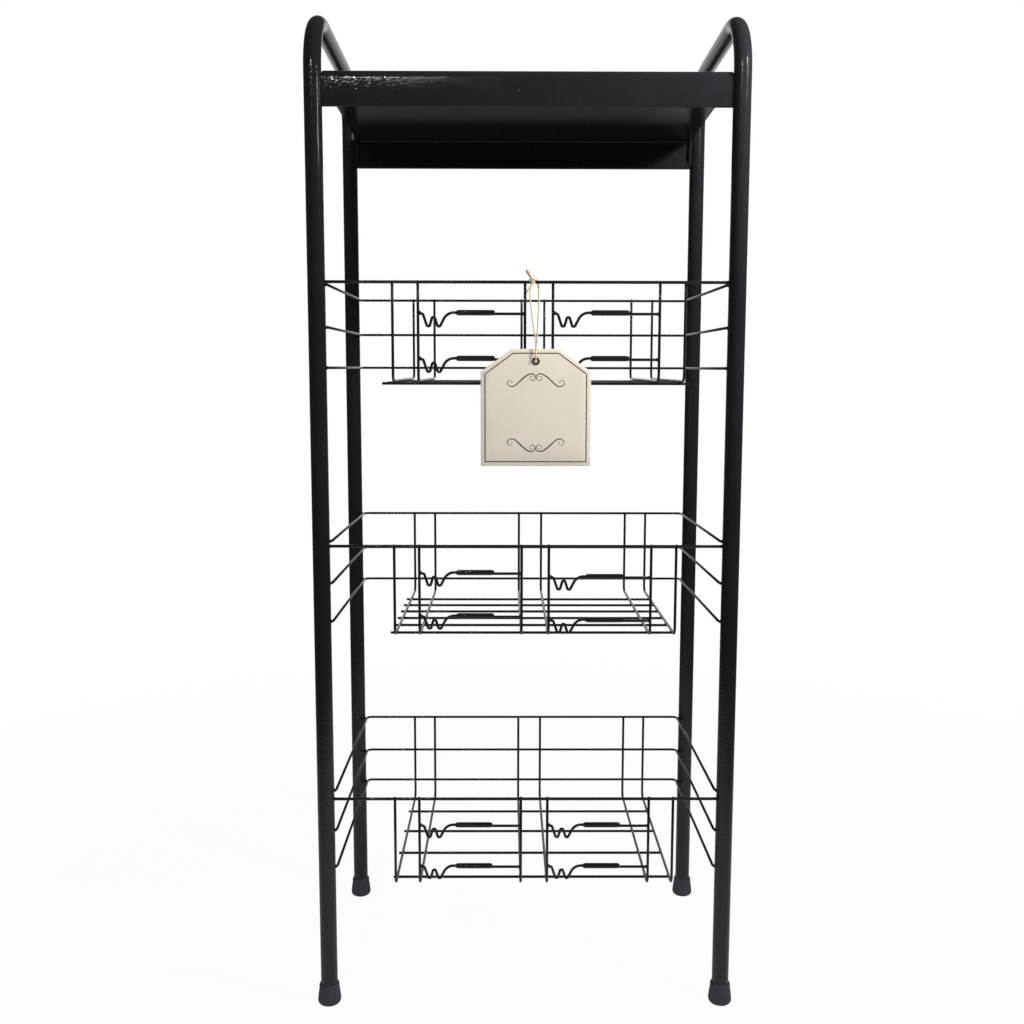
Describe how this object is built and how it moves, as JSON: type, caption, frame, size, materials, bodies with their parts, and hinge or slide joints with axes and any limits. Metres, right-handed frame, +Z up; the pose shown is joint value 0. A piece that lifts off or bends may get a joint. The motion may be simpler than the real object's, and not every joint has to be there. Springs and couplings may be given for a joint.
{
  "type": "tiered fruit stand",
  "caption": "Black painted metal stand with a flat tray on bent tube side frames, wire fruit baskets with scroll fronts below it, rubber feet and a blank tag on twine.",
  "frame": {"origin": "on the floor, in the middle of the four feet", "axes": "+Z up, +X to the right seen from the front, front towards -Y"},
  "size_m": [0.4764, 0.2914, 1.1044],
  "materials": {
    "black_paint": "gloss",
    "foot_rubber": "satin",
    "tag_board": "matte",
    "eyelet_metal": "aged",
    "twine": "matte"
  },
  "bodies": {
    "stand": {"side_frame_left": "black_paint", "side_frame_right": "black_paint", "top_tray": "black_paint", "foot_front_left": "foot_rubber", "foot_front_right": "foot_rubber", "foot_rear_left": "foot_rubber", "foot_rear_right": "foot_rubber", "lower_front_rim": "black_paint", "lower_guard_top": "black_paint", "lower_guard_mid": "black_paint", "lower_guard_low": "black_paint", "lower_cradle": "black_paint", "lower_rib_1": "black_paint", "lower_rib_2": "black_paint", "lower_rib_3": "black_paint", "lower_rib_4": "black_paint", "lower_scroll_left_high": "black_paint", "lower_scroll_left_low": "black_paint", "lower_scroll_right_high": "black_paint", "lower_scroll_right_low": "black_paint", "middle_front_rim": "black_paint", "middle_guard_top": "black_paint", "middle_guard_mid": "black_paint", "middle_guard_low": "black_paint", "middle_cradle": "black_paint", "middle_rib_1": "black_paint", "middle_rib_2": "black_paint", "middle_rib_3": "black_paint", "middle_rib_4": "black_paint", "middle_scroll_left_high": "black_paint", "middle_scroll_left_low": "black_paint", "middle_scroll_right_high": "black_paint", "middle_scroll_right_low": "black_paint", "upper_front_rim": "black_paint", "upper_guard_top": "black_paint", "upper_guard_mid": "black_paint", "upper_guard_low": "black_paint", "upper_cradle": "black_paint", "upper_rib_1": "black_paint", "upper_rib_2": "black_paint", "upper_rib_3": "black_paint", "upper_rib_4": "black_paint", "upper_scroll_left_high": "black_paint", "upper_scroll_left_low": "black_paint", "upper_scroll_right_high": "black_paint", "upper_scroll_right_low": "black_paint"},
    "hanging_tag": {"hang_tag": "tag_board", "tag_eyelet": "eyelet_metal", "tag_twine": "twine"}
  },
  "joints": [
    {"name": "tag_swing", "type": "hinge", "parent": "stand", "child": "hanging_tag", "pos_m": [0.0097, -0.1325, 0.816], "axis": [-1, 0, 0], "range_deg": [0, 75]}
  ]
}
